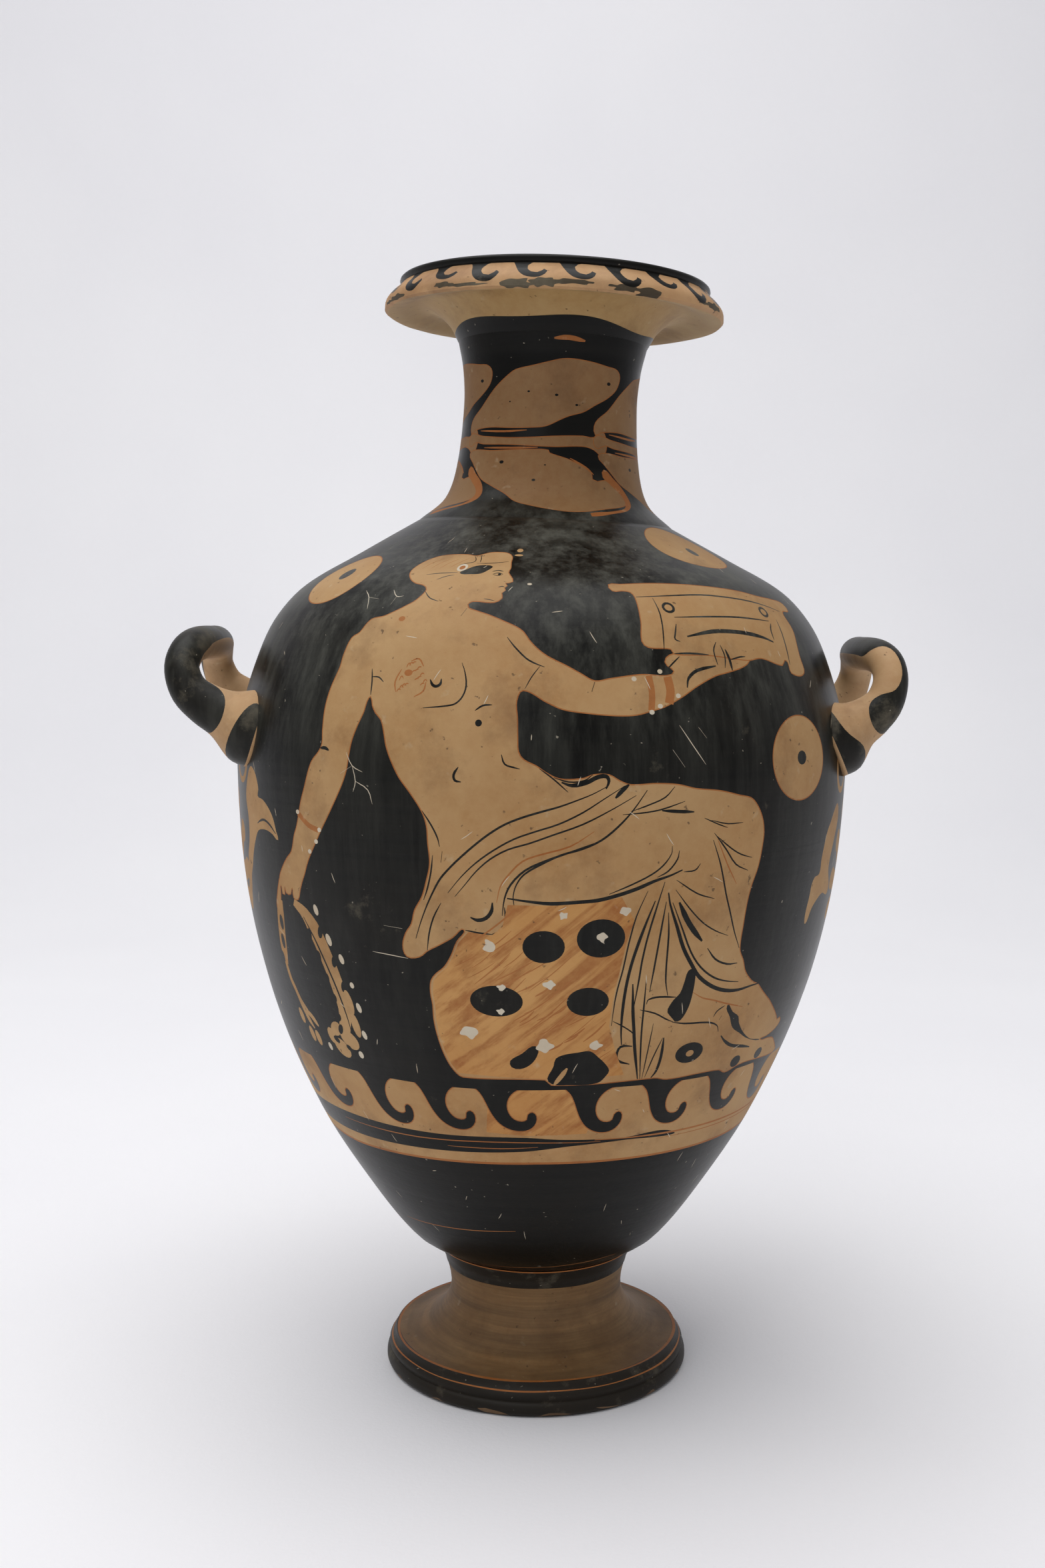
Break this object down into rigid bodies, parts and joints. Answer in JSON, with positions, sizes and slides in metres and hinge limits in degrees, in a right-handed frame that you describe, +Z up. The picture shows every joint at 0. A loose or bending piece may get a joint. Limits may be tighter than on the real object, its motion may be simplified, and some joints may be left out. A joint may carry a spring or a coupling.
{
  "type": "hydria water jar",
  "caption": "Painted fired-clay water jar with a flared foot, tall waisted neck, overhanging mouth, paired upturned side handles and an upright back handle.",
  "frame": {"origin": "centre of the resting ring on the table, which is also the bottom centre of the bounding box", "axes": "+Z up, -Y towards the painted side, +X to the viewer's right; one side handle on each side along X and the back handle on +Y"},
  "size_m": [0.1881, 0.1608, 0.2903],
  "materials": {
    "foot": "worn black gloss slip over fired clay",
    "body": "black gloss slip with reserved clay-coloured figures",
    "neck": "black gloss slip with reserved laurel leaves",
    "mouth": "matt pinkish fired clay with black painted waves",
    "side_handles": "worn black slip outside, bare clay inside",
    "back_handle": "worn black slip"
  },
  "bodies": {
    "root": {"foot": "foot", "body": "body", "neck": "neck", "mouth": "mouth", "side_handle_left": "side_handles", "side_handle_right": "side_handles", "back_handle": "back_handle"}
  },
  "joints": []
}
